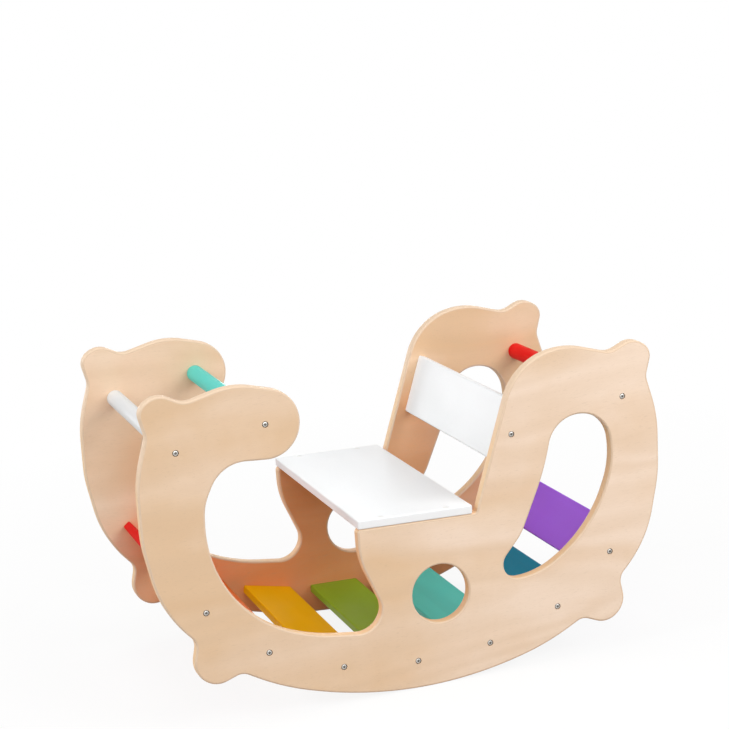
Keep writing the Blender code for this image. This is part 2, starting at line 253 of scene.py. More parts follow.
def copy_of(piece: Piece) -> Piece:
    """Copy a piece with a mesh of its own.

    Args:
        piece: Object to copy.

    Returns:
        The copy.
    """
    take(piece)
    bpy.ops.object.duplicate(linked=False)
    return bpy.context.object


def put_away(piece: Piece) -> None:
    """Remove a pattern piece or a cutter once it has been used."""
    bpy.data.objects.remove(piece, do_unlink=True)


def finish_faces(piece: Piece, slot: int, wanted: Callable) -> None:
    """Put one of a piece's finishes on some of its faces.

    Args:
        piece: Dressed piece.
        slot: Number of the finish on that piece.
        wanted: Test of one BMFace.
    """
    with editing(piece, Element.FACE, wanted):
        piece.active_material_index = slot
        bpy.ops.object.material_slot_assign()


# Shader nodes, and the effects that several finishes share


@dataclass
class Signal:
    """Value that runs through a shader, to reckon with as with a number."""

    board: "NodeBoard"
    socket: Socket

    def __add__(self, other: "Signal | float") -> "Signal":
        """Add another value."""
        return self.board.maths("ADD", self, other)

    def __sub__(self, other: "Signal | float") -> "Signal":
        """Take another value away."""
        return self.board.maths("SUBTRACT", self, other)

    def __mul__(self, other: "Signal | float") -> "Signal":
        """Multiply by another value."""
        return self.board.maths("MULTIPLY", self, other)

    def __truediv__(self, other: "Signal | float") -> "Signal":
        """Divide by another value."""
        return self.board.maths("DIVIDE", self, other)

    def __abs__(self) -> "Signal":
        """Drop the sign."""
        return self.board.maths("ABSOLUTE", self)

    def ramp(self, low: float, high: float, to_low: float = 0.0, to_high: float = 1.0) -> "Signal":
        """Map from one range to another, held at both ends."""
        return self.board.add("ShaderNodeMapRange", {
            "Value": self, "From Min": low, "From Max": high, "To Min": to_low, "To Max": to_high})["Result"]


@dataclass
class Outputs:
    """What a node gives, as signals."""

    board: "NodeBoard"
    node: bpy.types.Node

    def __getitem__(self, key: str | int) -> Signal:
        """Signal of this name or number."""
        return Signal(self.board, self.node.outputs[key])


@dataclass
class NodeBoard:
    """Short way of laying out shader nodes in one tree."""

    tree: Tree

    def add(self, kind: str, values: dict | None = None, **settings: object) -> Outputs:
        """Add a node.

        Args:
            kind: Node type name.
            values: Numbers, colours or signals for its inputs, by input name or number.
            settings: Attributes of the node to set.

        Returns:
            What the new node gives.
        """
        node = self.tree.nodes.new(kind)
        for key, value in settings.items():
            setattr(node, key, value)
        for key, value in (values or {}).items():
            self.feed(node.inputs[key], value)
        return Outputs(self, node)

    def feed(self, socket: Socket, value: object) -> None:
        """Lead a signal into a socket, or set its value.

        Args:
            socket: Input to feed.
            value: Signal, number or colour.
        """
        if isinstance(value, Signal):
            self.tree.links.new(value.socket, socket)
        else:
            socket.default_value = value

    def maths(self, operation: str, *values: object) -> Signal:
        """Reckon with numbers by a Math node."""
        return self.add("ShaderNodeMath", dict(enumerate(values)), operation=operation)[0]

    def vectors(self, operation: str, *values: object) -> Signal:
        """Reckon with vectors by a Vector Math node."""
        return self.add("ShaderNodeVectorMath", dict(enumerate(values)), operation=operation)[0]

    def blend(self, factor: object, first: object, second: object, how: str = "MIX") -> Signal:
        """Mix two colours."""
        colours = {0: factor, 6: first, 7: second}
        return self.add("ShaderNodeMix", colours, data_type="RGBA", blend_type=how)[2]

    def shaders(self, factor: Signal, first: Outputs, second: Outputs) -> Outputs:
        """Mix two shaders."""
        return self.add("ShaderNodeMixShader", {0: factor, 1: first[0], 2: second[0]})

    def noise(self, point: Signal, scale: object, detail: float, roughness: float, **more: object) -> Signal:
        """Add a noise, with W as its fourth dimension where one is given."""
        values = {"Vector": point, "Scale": scale, "Detail": detail, "Roughness": roughness, **more}
        return self.add("ShaderNodeTexNoise", values, noise_dimensions="4D" if more else "3D")["Fac"]

    def place(self) -> Signal:
        """Point on the piece, in its own coordinates."""
        return self.add("ShaderNodeTexCoord")["Object"]

    def axes(self) -> tuple[Signal, Signal, Signal]:
        """X, Y and Z of the point on the piece."""
        point = self.add("ShaderNodeSeparateXYZ", {0: self.place()})
        return point["X"], point["Y"], point["Z"]

    def group(self, tree: Tree, values: dict | None = None) -> Outputs:
        """Place a shared effect with its own values."""
        return self.add("ShaderNodeGroup", values, node_tree=tree)


Started = tuple[NodeBoard, Outputs, dict[str, Socket]]


def new_group(name: str, inputs: dict[str, float], outputs: tuple[str, ...]) -> Started:
    """Start a shader node group with named float sockets.

    Args:
        name: Name of the group.
        inputs: Input names with their default values.
        outputs: Output names.

    Returns:
        The group's board, the signals that it is given and the sockets that it fills.
    """
    group = bpy.data.node_groups.new(name, "ShaderNodeTree")
    for socket_name, value in inputs.items():
        socket = group.interface.new_socket(socket_name, in_out="INPUT", socket_type="NodeSocketFloat")
        socket.default_value = value
    for socket_name in outputs:
        group.interface.new_socket(socket_name, in_out="OUTPUT", socket_type="NodeSocketFloat")
    board = NodeBoard(group)
    filled = board.add("NodeGroupOutput").node.inputs
    return board, board.add("NodeGroupInput"), {socket.name: socket for socket in filled}


@dataclass(frozen=True)
class NoiseMask:
    """Mask from a noise: its scale, detail and roughness, and the values that become 0 and 1."""

    name: str
    scale: float
    detail: float
    roughness: float
    low: float
    high: float


@dataclass(frozen=True)
class WoodFigure:
    """Wood figure drawn out along one axis, from noises bent by a broad noise."""

    masks: tuple[NoiseMask, ...] = (
        NoiseMask("Sheets", 13.0, 1.0, 0.4, 0.32, 0.68), NoiseMask("Bands", 24.0, 2.0, 0.45, 0.30, 0.70),
        NoiseMask("Streaks", 210.0, 4.0, 0.62, 0.28, 0.72), NoiseMask("Pores", 900.0, 1.0, 0.5, 0.60, 0.74))
    rings: NoiseMask = NoiseMask("Rings", 8.0, 2.0, 0.35, -1.0, 1.0)
    ring_count: float = 64.0
    ring_seed: float = 3.0
    bend_scale: float = 7.0
    bend: Spot = (0.090, 0.090, 0.090)

    def build(self) -> Tree:
        """Build the figure.

        Returns:
            Group with masks from 0 to 1: broad Sheets, wavy Rings, soft Bands, fine Streaks and Pores.
        """
        inputs = {"Along X": 1.0, "Along Y": 1.0, "Along Z": 1.0, "Scale": 1.0, "Seed": 0.0}
        board, given, made = new_group("wood_grain", inputs, ("Sheets", "Rings", "Bands", "Streaks", "Pores"))
        scale, seed = given["Scale"], given["Seed"]
        along = {number: given[f"Along {axis}"] for number, axis in enumerate("XYZ")}
        point = board.vectors("MULTIPLY", board.place(), board.add("ShaderNodeCombineXYZ", along)[0])
        wander = board.noise(point, self.bend_scale, 2.0, 0.5, W=seed)
        bent = board.vectors("ADD", point, board.vectors("MULTIPLY", wander, self.bend))
        for mask in self.masks:
            value = board.noise(bent, scale * mask.scale, mask.detail, mask.roughness, W=seed)
            board.feed(made[mask.name], value.ramp(mask.low, mask.high))
        rings = self.rings
        swell = board.noise(bent, scale * rings.scale, rings.detail, rings.roughness, W=seed + self.ring_seed)
        waves = board.maths("SINE", swell * self.ring_count)
        board.feed(made[rings.name], waves.ramp(rings.low, rings.high))
        return board.tree


@dataclass
class SharedEffects:
    """Node groups for effects that more than one finish uses."""

    grain: Tree
    skin: Tree
    nook: Tree

    @classmethod
    def build(cls) -> "SharedEffects":
        """Build every group once."""
        return cls(WoodFigure().build(), cls._skin(), cls._nook())

    @staticmethod
    def _skin() -> Tree:
        """Surface of a sprayed or rubbed coat: cloudy gloss and fine orange peel.

        Returns:
            Group with Cloud and Peel masks from 0 to 1.
        """
        scales = {"Cloud Scale": 12.0, "Peel Scale": 700.0}
        board, given, made = new_group("coat_skin", scales, ("Cloud", "Peel"))
        cloud = board.noise(board.place(), given["Cloud Scale"], 4.0, 0.6)
        board.feed(made["Cloud"], cloud.ramp(0.30, 0.70))
        board.feed(made["Peel"], board.noise(board.place(), given["Peel Scale"], 1.0, 0.4))
        return board.tree

    @staticmethod
    def _nook() -> Tree:
        """Painted shade where pieces stand close between other pieces, from ambient occlusion.

        Returns:
            Group with a mask of painted shade from 0 in the open to 1 where pieces stand closest.
        """
        board, given, made = new_group("nook", {"Reach": 0.3, "Open": 0.80, "Deep": 0.25}, ("Nook",))
        # Ambient occlusion becomes the mask of painted shade.
        near = board.add("ShaderNodeAmbientOcclusion", {"Distance": given["Reach"]}, samples=12)
        board.feed(made["Nook"], near["AO"].ramp(given["Deep"], given["Open"], 1.0, 0.0))
        return board.tree


# Finishes


def rgba(colour: Rgb, gain: float = 1.0) -> tuple[float, float, float, float]:
    """Colour with full alpha, brightened or darkened by a factor."""
    return (colour[0] * gain, colour[1] * gain, colour[2] * gain, 1.0)


@dataclass
class Coat(NodeBoard):
    """Board of a finish's material, with the shared effects and the masks of its skin."""

    effects: SharedEffects
    skin_scales: dict[str, float]

    def __post_init__(self) -> None:
        """Lay out the skin."""
        skin = self.group(self.effects.skin, self.skin_scales)
        self.cloud, self.peel = skin["Cloud"], skin["Peel"]

    def nook(self) -> Signal:
        """Painted shade: how far a place lies in among other pieces."""
        return self.group(self.effects.nook)["Nook"]


@dataclass(frozen=True)
class Finish:
    """Finish of a surface: its material's name, its slot in the record and how its coat looks."""

    name: str
    slot: str
    roughness: float = 0.45
    polish: float = 0.05
    scuff: float = 0.08
    shine: float = 0.5
    metal: float = 0.0
    relief: float = 0.10
    relief_depth: float = 0.6 * MM
    cloud_scale: float = 16.0
    peel_scale: float = 800.0

    def build(self, effects: SharedEffects) -> bpy.types.Material:
        """Build the finish's material.

        Args:
            effects: Shared node groups.

        Returns:
            The finished material.
        """
        material = bpy.data.materials.new(self.name)
        material.use_nodes = True
        tree = material.node_tree
        coat = Coat(tree, effects, {"Cloud Scale": self.cloud_scale, "Peel Scale": self.peel_scale})
        colour, rough, height = self.lay(coat)
        relief = {"Strength": self.relief, "Distance": self.relief_depth, "Height": height}
        looks = {
            "Base Color": colour, "Roughness": rough, "Specular IOR Level": self.shine,
            "Metallic": self.metal, "Normal": coat.add("ShaderNodeBump", relief)["Normal"]}
        for socket_name, value in looks.items():
            coat.feed(tree.nodes["Principled BSDF"].inputs[socket_name], value)
        return material

    def lay(self, coat: Coat) -> Laid:
        """Lay out what is this finish's own: its colour, roughness and height."""
        raise NotImplementedError

    def gloss(self, mask: Signal, low: float = 0.0, high: float = 1.0) -> Signal:
        """Roughness from polished to scuffed, as a mask runs from low to high."""
        return mask.ramp(low, high, self.roughness - self.polish, self.roughness + self.scuff)


@dataclass(frozen=True)
class BirchVeneer(Finish):
    """Clear-lacquered birch face of a side panel, with its grain along the chair, and painted light and
    shade.
    """

    slot: str = "plywood"
    roughness: float = 0.48
    scuff: float = 0.06
    shine: float = 0.28
    cloud_scale: float = 6.0
    peel_scale: float = 520.0
    seed: float = 0.0
    # Painted light: the panel is lighter towards one end along X and darker towards the other.
    drift: float = 0.0
    grain_along: float = 0.16
    pale: Rgb = (0.88, 0.695, 0.525)
    warm: Rgb = (0.78, 0.565, 0.38)
    honey: Rgb = (0.75, 0.505, 0.295)
    blush: Rgb = (0.94, 0.775, 0.655)
    # Painted shade: the inside face is tinted warmer and darker than the outer face.
    inner: Rgb = (1.0, 0.97, 0.92)
    # Painted shade under the seat, on the inside face round the neck.
    heart: Rgb = (0.97, 0.745, 0.58)
    # Painted shade where pieces stand close, by ambient occlusion.
    deep: Rgb = (1.12, 0.69, 0.44)
    patch_share: float = 0.55
    broad_share: float = 0.85
    sheet_share: float = 0.62
    ring_share: float = 0.26
    streak_share: float = 0.13
    pore_share: float = 0.18
    streak_relief: float = 0.6

    def lay(self, coat: Coat) -> Laid:
        """Lay the wood's figure, the painted shade of the inside face, under the seat and among other pieces,
        and the pores over each other.

        Args:
            coat: Board of the material.

        Returns:
            Colour, roughness and height.
        """
        grain = coat.group(coat.effects.grain, {"Along X": self.grain_along, "Seed": self.seed})
        x, y, z = coat.axes()
        patch = (coat.cloud - 0.5) * self.patch_share
        broad = (grain["Sheets"] - 0.5) * self.broad_share
        # Random colour patches plus painted light along X.
        tone_and_painted_light = x * self.drift + (patch + broad)
        bands = coat.blend(grain["Bands"], rgba(self.pale), rgba(self.warm))
        sheets = coat.blend(tone_and_painted_light.ramp(-0.5, 0.5), rgba(self.honey), rgba(self.blush))
        base = coat.blend(self.sheet_share, bands, sheets)
        base = coat.blend(grain["Rings"] * self.ring_share, base, rgba(self.warm, 0.92))
        inside = abs(y).ramp(200 * MM, 208 * MM, 1.0, 0.0)
        across = abs(x + 30 * MM).ramp(200 * MM, 320 * MM, 1.0, 0.0)
        # Mask of painted shade under the seat: about the neck's middle and below 310 to 380 mm.
        heart = across * z.ramp(310 * MM, 380 * MM, 1.0, 0.0) * inside
        painted_shade_mask = coat.nook() * inside * z.ramp(300 * MM, 370 * MM, 1.0, 0.15)
        # Painted shade laid over the figure: inside face, under the seat and among other pieces.
        for mask, tint in ((inside, self.inner), (heart, self.heart), (painted_shade_mask, self.deep)):
            base = coat.blend(mask, base, rgba(tint), "MULTIPLY")
        base = coat.blend(grain["Streaks"] * self.streak_share, base, rgba(self.warm, 0.86))
        base = coat.blend(grain["Pores"] * self.pore_share, base, rgba(self.warm, 0.62))
        return base, self.gloss(coat.cloud), grain["Streaks"] * self.streak_relief + coat.peel


@dataclass(frozen=True)
class PlyEdge(Finish):
    """Rounded edge of a side panel, where the thin layers of the plywood show faintly."""

    name: str = "ply_edge"
    slot: str = "plywood"
    roughness: float = 0.50
    polish: float = 0.04
    scuff: float = 0.10
    shine: float = 0.25
    relief: float = 0.12
    relief_depth: float = 0.5 * MM
    cloud_scale: float = 26.0
    peel_scale: float = 900.0
    face_grain: Rgb = (0.81, 0.635, 0.475)
    end_grain: Rgb = (0.74, 0.545, 0.385)
    # Painted shade: warmer middle of the edge, as on the shaded walls of the holes.
    core: Rgb = (1.12, 1.0, 0.80)
    # Painted shade where pieces stand close, by ambient occlusion.
    deep: Rgb = (1.12, 0.66, 0.42)
    layers: int = 13
    waviness: float = 0.3 * MM
    cross_share: float = 0.55
    glue_share: float = 0.22
    streak_share: float = 0.22

    def lay(self, coat: Coat) -> Laid:
        """Lay the layers, their glue lines and the painted shade of the hole walls and among other pieces
        over each other.

        Args:
            coat: Board of the material.

        Returns:
            Colour, roughness and height.
        """
        grain = coat.group(coat.effects.grain, {"Along Y": 0.5, "Scale": 1.6, "Seed": 7.1})
        _, y, z = coat.axes()
        depth = abs(y) - (OUTER_FACE - PANEL_THICKNESS)
        layer = (depth + (coat.cloud - 0.5) * self.waviness) / (PANEL_THICKNESS / self.layers)
        phase = coat.maths("PINGPONG", layer + 0.5, 1.0)
        cross = phase.ramp(0.42, 0.58)
        glue = abs(phase - 0.5).ramp(0.0, 0.10, 1.0, 0.0)
        base = coat.blend(cross * self.cross_share, rgba(self.face_grain), rgba(self.end_grain))
        base = coat.blend(glue * self.glue_share, base, rgba(self.end_grain, 0.6))
        base = coat.blend(grain["Streaks"] * self.streak_share, base, rgba(self.end_grain, 0.85))
        # Painted shade of the hole walls: warmer middle of the edge, weaker above 340 to 400 mm.
        middle = abs(depth - PANEL_THICKNESS / 2).ramp(5.5 * MM, 7.5 * MM, 1.0, 0.0)
        middle = middle * z.ramp(340 * MM, 400 * MM, 1.0, 0.2)
        # Painted shade among other pieces, strongest near the inside face.
        painted_shade_mask = coat.nook() * depth.ramp(3 * MM, 10 * MM, 0.6, 0.15)
        for mask, tint in ((middle, self.core), (painted_shade_mask, self.deep)):
            base = coat.blend(mask, base, rgba(tint), "MULTIPLY")
        return base, self.gloss(cross), cross * -0.6 + grain["Streaks"] * 0.5


@dataclass(frozen=True)
class SatinPaint(Finish):
    """Satin water-based paint on wood, with the grain of the board showing faintly in the coat."""

    roughness: float = 0.42
    polish: float = 0.04
    scuff: float = 0.06
    shine: float = 0.13
    colour: Rgb = (1.0, 1.0, 1.0)
    depth: float = 0.90
    seed: float = 0.0
    pore_share: float = 0.25
    streak_relief: float = 0.8

    def lay(self, coat: Coat) -> Laid:
        """Lay the paint's bands and pores over each other.

        Args:
            coat: Board of the material.

        Returns:
            Colour, roughness and height.
        """
        grain = coat.group(coat.effects.grain, {"Along Y": 0.09, "Scale": 1.2, "Seed": self.seed})
        base = coat.blend(grain["Bands"], rgba(self.colour), rgba(self.colour, self.depth))
        base = coat.blend(grain["Pores"] * self.pore_share, base, rgba(self.colour, self.depth * 0.86))
        return base, self.gloss(coat.cloud), grain["Streaks"] * self.streak_relief + coat.peel


@dataclass(frozen=True)
class HardSkin(Finish):
    """Plated steel of the screws or moulded plastic of the caps, with light marks."""

    scuff: float = 0.10
    relief: float = 0.06
    relief_depth: float = 0.1 * MM
    bright: Rgb = (0.66, 0.64, 0.61)
    dull: Rgb = (0.46, 0.44, 0.41)

    def lay(self, coat: Coat) -> Laid:
        """Lay the marks that handling leaves."""
        base = coat.blend(coat.cloud, rgba(self.bright), rgba(self.dull))
        return base, self.gloss(coat.peel, 0.3, 0.7), coat.peel


@dataclass
class FinishShelf:
    """Every material of the chair, built once."""

    materials: dict[str, bpy.types.Material]
    slots: dict[str, str]

    @classmethod
    def stock(cls) -> "FinishShelf":
        """Build the whole shelf.

        Returns:
            The shelf.
        """
        effects = SharedEffects.build()
        steel = {"polish": 0.06, "metal": 1.0, "cloud_scale": 420.0, "peel_scale": 2600.0}
        white = {"depth": 0.985, "relief": 0.05}
        finishes = {
            # Each panel gets its own painted light along X, lighter towards one end.
            "veneer_left": BirchVeneer("birch_veneer_left", seed=2.4, drift=1.2),
            "veneer_right": BirchVeneer("birch_veneer_right", seed=5.9, drift=-0.9),
            "ply_edge": PlyEdge(),
            "steel": HardSkin("plated_steel", "screw_steel", 0.24, **steel),
            "cap": HardSkin(
                "cap_plastic", "white_plastic", 0.34, scuff=0.08, relief=0.08, cloud_scale=180.0,
                peel_scale=1800.0, bright=(0.80, 0.80, 0.79), dull=(0.768, 0.768, 0.7584)),
            # Painted shade: dark steel for the socket and the rim of each screw head.
            "dark_steel": HardSkin(
                "socket_steel", "screw_steel", 0.38, bright=(0.25, 0.235, 0.21), dull=(0.14, 0.13, 0.115),
                **steel)}
        paints = (
            SatinPaint("red", "red_paint", colour=(0.74, 0.008, 0.008), shine=0.05, seed=1.0),
            SatinPaint("orange", "orange_paint", colour=(0.95, 0.17, 0.010), seed=2.0),
            SatinPaint(
                "yellow", "yellow_paint", colour=(0.98, 0.51, 0.0005), shine=0.04, depth=0.94, seed=3.0),
            SatinPaint("green", "green_paint", colour=(0.285, 0.46, 0.025), shine=0.10, seed=4.0),
            SatinPaint("teal", "teal_paint", colour=(0.10, 0.64, 0.56), seed=5.0),
            SatinPaint("blue", "blue_paint", colour=(0.002, 0.23, 0.37), shine=0.08, seed=6.0),
            SatinPaint("purple", "purple_paint", colour=(0.39, 0.125, 0.88), seed=7.0),
            SatinPaint("white", "white_paint", colour=(0.885, 0.90, 0.915), seed=8.0, **white),
            # Painted shade: a darker copy of the white paint, for the white rod.
            SatinPaint("white_rod", "white_paint", colour=(0.74, 0.755, 0.765), seed=9.0, **white))
        finishes.update({paint.name: paint for paint in paints})
        return cls({name: finish.build(effects) for name, finish in finishes.items()},
                   {name: finish.slot for name, finish in finishes.items()})

    def dress(self, piece: Piece, name: str, *more: str) -> None:
        """Give a piece its materials and look up the record's slot of the first one.

        Args:
            piece: Object to dress.
            name: Finish of the piece.
            more: Further finishes, in slot order.
        """
        piece.data.materials.clear()
        for finish in (name, *more):
            piece.data.materials.append(self.materials[finish])
        self.label(piece, name)

    def label(self, piece: Piece, name: str) -> None:
        """Look up the record's slot that a piece's finish stands for; nothing is named or kept."""
        self.slots[name]


# The chair


@dataclass(frozen=True)
class RestPose:
    """Lean of the chair at rest, from the drawing of a side panel to the world."""

    tilt: float = math.radians(2.04)
    guide_node: str = "green_slat"
    guide_height: float = 41.5 * MM
    lift: float = 0.003 * MM

    def matrix(self) -> Matrix:
        """Lay the lean and the lift together.

        Returns:
            Move from the drawing to the world.
        """
        turn = Matrix.Rotation(self.tilt, 4, "Y")
        low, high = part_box(self.guide_node)
        shift = (low + high) / 2 - turn @ Vector((0.0, 0.0, self.guide_height))
        return Matrix.Translation(shift + Vector((0.0, 0.0, self.lift))) @ turn


@dataclass(frozen=True)
class Fixings:
    """Sizes that the screws share with what they are screwed into, and their cutters' sizes."""

    head_radius: float = 4.3 * MM
    head_height: float = 2.2 * MM
    head_clearance: float = 0.4 * MM
    head_sink: float = 0.3 * MM
    shank_radius: float = 2.5 * MM
    side_length: float = 52 * MM
    seat_length: float = 44 * MM
    tip_clearance: float = 2 * MM
    cap_thickness: float = 1.8 * MM
    cap_dome: float = 0.4 * MM
    recess_cutter: float = 10 * MM
    overrun: float = 2 * MM
    recess_sides: int = 40
    bore_sides: int = 24

    @property
    def recess_depth(self) -> float:
        """Depth of the recess in a side panel."""
        return self.head_sink + self.head_height + GAP

    @property
    def member_bore(self) -> float:
        """Depth of the hole in the end of a cross member."""
        return self.side_length - (PANEL_THICKNESS - self.recess_depth) + self.tip_clearance

    @property
    def seat_head_depth(self) -> float:
        """Depth of a seat screw's head under the seat's top."""
        return self.cap_thickness + self.cap_dome + GAP

    def recess_bit(self, along: Axis) -> RoundBar:
        """Bit for the recess round a head."""
        return RoundBar(self.head_radius + self.head_clearance, self.recess_cutter, along, self.recess_sides)

    def shank_bit(self, length: float, along: Axis) -> RoundBar:
        """Bit for the hole of a shank."""
        return RoundBar(self.shank_radius + GAP, length, along, self.bore_sides)


@dataclass(frozen=True)
class Bench:
    """What every piece is made with: the finishes, the chair's lean and the screws' sizes."""

    shelf: FinishShelf
    pose: Matrix
    fixings: Fixings

    def mount(self, piece: Piece, node: str, place: Matrix | None = None) -> None:
        """Move a dressed piece to the chair and let it stand for its CAD node.

        Args:
            piece: Finished piece.
            node: CAD node that it replaces.
            place: Move to its place in the drawing, where it isn't there yet.
        """
        settle(piece, self.pose if place is None else self.pose @ place)
        piece.name = f"{node}_look"
        piece.data.name = piece.name
        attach(piece, "root")
        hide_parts(node)
        log.info("%s: %d faces", node, len(piece.data.polygons))

    def set_out(self, pattern: Piece, finish: str, places: dict[str, Matrix]) -> None:
        """Mount copies of a dressed pattern piece and put the pattern away.

        Args:
            pattern: Piece to copy.
            finish: Its first finish.
            places: Move of every copy to its place in the drawing, by the CAD node that it replaces.
        """
        for node, place in places.items():
            piece = copy_of(pattern)
            self.shelf.label(piece, finish)
            self.mount(piece, node, place)
        put_away(pattern)


@dataclass
class OutlinePen:
    """Draws closed outlines in a plane of constant Y, with spun fillets at the corners."""

    y: float
    tolerance: float = 0.035 * MM

    def line(self, step: Vector) -> None:
        """Draw a straight run by this step."""
        if step.length > TINY:
            bpy.ops.mesh.extrude_vertices_move(TRANSFORM_OT_translate={"value": (step.x, 0.0, step.y)})

    def fillet(self, centre: Vector, radius: float, sweep: float) -> None:
        """Spin the last point about a fillet's centre.

        Args:
            centre: Centre of the fillet.
            radius: Radius of the fillet.
            sweep: Turn from X towards Z, in radians.
        """
        steps = max(3, math.ceil(abs(sweep) / (2 * math.acos(1 - self.tolerance / radius))))
        bpy.ops.mesh.spin(
            steps=steps, angle=sweep, center=(centre.x, self.y, centre.y), axis=(0.0, 1.0, 0.0))

    def trace(self, corners: list[Corner]) -> None:
        """Draw the outline through its corners.

        Args:
            corners: X, Z and fillet radius of every corner in millimetres, counter-clockwise.
        """
        spots = [Vector((x, z)) * MM for x, z, _ in corners]
        fillets = []
        for i, here in enumerate(spots):
            before = (spots[i - 1] - here).normalized()
            after = (spots[(i + 1) % len(spots)] - here).normalized()
            half = before.angle(after) / 2
            radius = corners[i][2] * MM
            centre = here + (before + after).normalized() * radius / math.sin(half)
            reach = radius / math.tan(half)
            first, last = here + before * reach, here + after * reach
            sweep = math.atan2((first - centre).cross(last - centre), (first - centre).dot(last - centre))
            fillets.append((first, last, centre, radius, sweep))
        at = fillets[0][0]
        bpy.ops.mesh.select_all(action="DESELECT")
        bpy.ops.mesh.primitive_plane_add(size=1 * MM, location=(at.x, self.y, at.y))
        bpy.ops.mesh.merge(type="CENTER")
        for first, last, centre, radius, sweep in fillets:
            self.line(first - at)
            self.fillet(centre, radius, sweep)
            at = last
        self.line(fillets[0][0] - at)


@dataclass
class SidePanel:
    """Plywood side: rocker, four ears, backrest post, seat shelf, neck, leg opening and arm."""

    bench: Bench
    screws: list[Place]
    seat_screws: list[float]
    edge_radius: float = 3 * MM
    edge_steps: int = 4
    round_hole: Spot = (40 * MM, 139 * MM, 44 * MM)
    round_sides: int = 96
    flat: float = 0.985
    rocker: Corner = (0, -22.33, 598)
    end: tuple[Corner, ...] = (
        (207, 34.76, 370), (265, 66.76, 20), (306, 51.07, 32), (337, 76.62, 34), (328, 121.14, 22),
        (375, 171, 178), (396.75, 274, 200), (397.75, 364, 200), (380, 425, 24), (391, 465.75, 22),
        (360, 485.3, 30), (323, 467, 30), (252, 486.6, 112))
    post: tuple[Corner, ...] = ((170.12, 466, 98), (101, 252, 5))
    front: tuple[Corner, ...] = (
        (-83, 252, 6), (-82, 206, 125), (-48, 128, 31), (-68, 94, 34),
        (-147, 102.35, 245), (-233, 129.94, 180), (-306, 228, 185), (-304, 319, 80), (-276, 376, 54),
        (-166, 371, 50), (-152, 462, 50))
    back_hole: tuple[Corner, ...] = (
        (313, 377, 48), (323, 304, 135), (282, 195, 205), (193, 145, 114),
        (111, 141, 23), (171, 210, 88), (212, 305, 380), (230, 384, 50))

    def outline(self) -> list[Corner]:
        """Corners of the whole outer outline, counter-clockwise from the rocker."""
        mirrored = [(-x, z, radius) for x, z, radius in reversed(self.end)]
        return [self.rocker, *self.end, *self.post, *self.front, *mirrored]

    def build(self) -> None:
        """Build both panels: the right one is the left one's mirror image."""
        left = self._blank()
        self._round_edge(left, -1)
        self._round_edge(left, 1)
        right = copy_of(left)
        right.scale.y = -1.0
        apply_place(right)
        for piece, side in ((left, Side.LEFT), (right, Side.RIGHT)):
            with editing(piece, Element.FACE):
                face_outwards()
            self._drill(piece, side)
            self.bench.shelf.dress(piece, f"veneer_{side.label}", "ply_edge")
            finish_faces(piece, 1, lambda face: abs(face.normal.y) < self.flat)
            smooth(piece)
            self.bench.mount(piece, f"side_panel_{side.label}")

    def _blank(self) -> Piece:
        """Draw the outlines and give them the thickness between the rounded edges.

        Returns:
            The left panel's blank, open to rounding on both faces.
        """
        start = -OUTER_FACE + self.edge_radius
        x, z, radius = self.round_hole
        deselect_all()
        bpy.ops.mesh.primitive_circle_add(
            vertices=self.round_sides, radius=radius, fill_type="NOTHING", location=(x, start, z),
            rotation=Axis.Y.value)
        blank = bpy.context.object
        apply_place(blank)
        with editing(blank, Element.VERT):
            pen = OutlinePen(start)
            pen.trace(self.outline())
            pen.trace(list(self.back_hole))
            bpy.ops.mesh.select_all(action="SELECT")
            bpy.ops.mesh.remove_doubles(threshold=2 * TINY)
            bpy.ops.mesh.fill(use_beauty=True)
            bpy.ops.mesh.select_all(action="SELECT")
            bpy.ops.mesh.extrude_region_move(
                TRANSFORM_OT_translate={"value": (0.0, PANEL_THICKNESS - 2 * self.edge_radius, 0.0)})
            face_outwards()
        return blank

    def _round_edge(self, blank: Piece, direction: int) -> None:
        """Round the edges of one face by small insets, then lay the flat face in again.

        Args:
            blank: Panel being made.
            direction: Sign of Y that the face looks along.
        """
        turns = [math.pi / 2 * k / self.edge_steps for k in range(self.edge_steps + 1)]
        with editing(blank, Element.FACE, lambda face: face.normal.y * direction > 0.99):
            for before, after in zip(turns, turns[1:]):
                inset = self.edge_radius * (math.cos(before) - math.cos(after))
                rise = self.edge_radius * (math.sin(after) - math.sin(before))
                bpy.ops.mesh.inset(thickness=inset, depth=rise, use_even_offset=True, use_boundary=True)
            bpy.ops.mesh.delete(type="FACE")
            bpy.ops.mesh.select_mode(type="VERT")
            bpy.ops.mesh.select_non_manifold(
                extend=False, use_wire=False, use_boundary=True, use_multi_face=False,
                use_non_contiguous=False, use_verts=False)
            bpy.ops.mesh.fill(use_beauty=True)

    def _drill(self, piece: Piece, side: Side) -> None:
        """Drill the recessed screw holes and the bores under the seat.

        Args:
            piece: Panel to drill.
            side: Side that it stands on.
        """
        fix = self.bench.fixings
        outer = side.value * OUTER_FACE
        floor = outer - side.value * (fix.recess_depth - fix.recess_cutter / 2)
        middle = outer - side.value * PANEL_THICKNESS / 2
        recesses = [Vector((x, floor, z)) for x, z, _ in self.screws]
        fix.recess_bit(Axis.Y).bore(piece, recesses)
        holes = [Vector((x, middle, z)) for x, z, _ in self.screws]
        fix.shank_bit(3 * PANEL_THICKNESS, Axis.Y).bore(piece, holes)
        top = SHELF_HEIGHT + fix.overrun
        holes = [Vector((x, middle, top - fix.seat_length / 2)) for x in self.seat_screws]
        fix.shank_bit(fix.seat_length, Axis.Z).bore(piece, holes)


